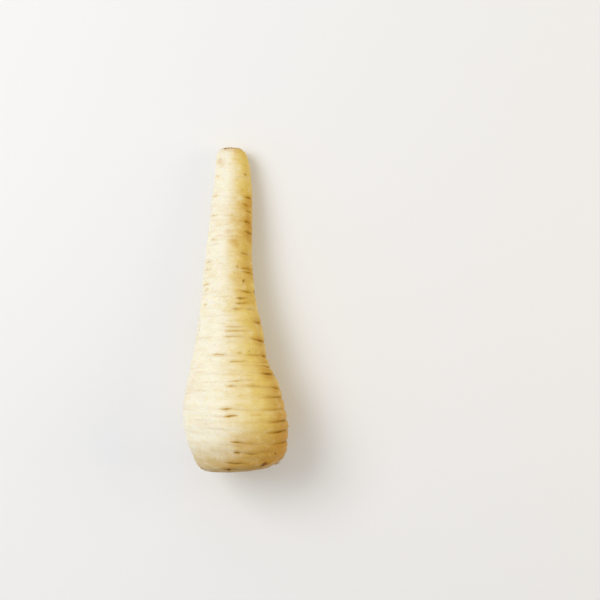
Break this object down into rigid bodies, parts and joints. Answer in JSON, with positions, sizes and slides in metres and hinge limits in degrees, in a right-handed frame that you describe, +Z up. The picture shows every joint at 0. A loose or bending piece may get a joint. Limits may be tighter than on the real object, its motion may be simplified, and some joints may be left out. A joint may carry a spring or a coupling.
{
  "type": "parsnip",
  "caption": "Loose parsnip root lying on its side: broad ringed bulb with a dished crown and corky leaf-stalk stubs, long tapering neck and a cut tip.",
  "frame": {"origin": "on the surface that the root lies on, under the middle of its box", "axes": "+Z up, +Y along the root towards its cut tip, -Y towards its crown, +X to the right seen from above with the tip away"},
  "size_m": [0.0517, 0.159, 0.0495],
  "materials": {
    "root_skin": "cream to pale ochre root skin, satin where moist, with darker ochre transverse scars",
    "leaf_stalk": "dry, fibrous, brown cut leaf stalks"
  },
  "bodies": {
    "root": {"parsnip_root": "root_skin", "leaf_stalk_stubs": "leaf_stalk"}
  },
  "joints": []
}
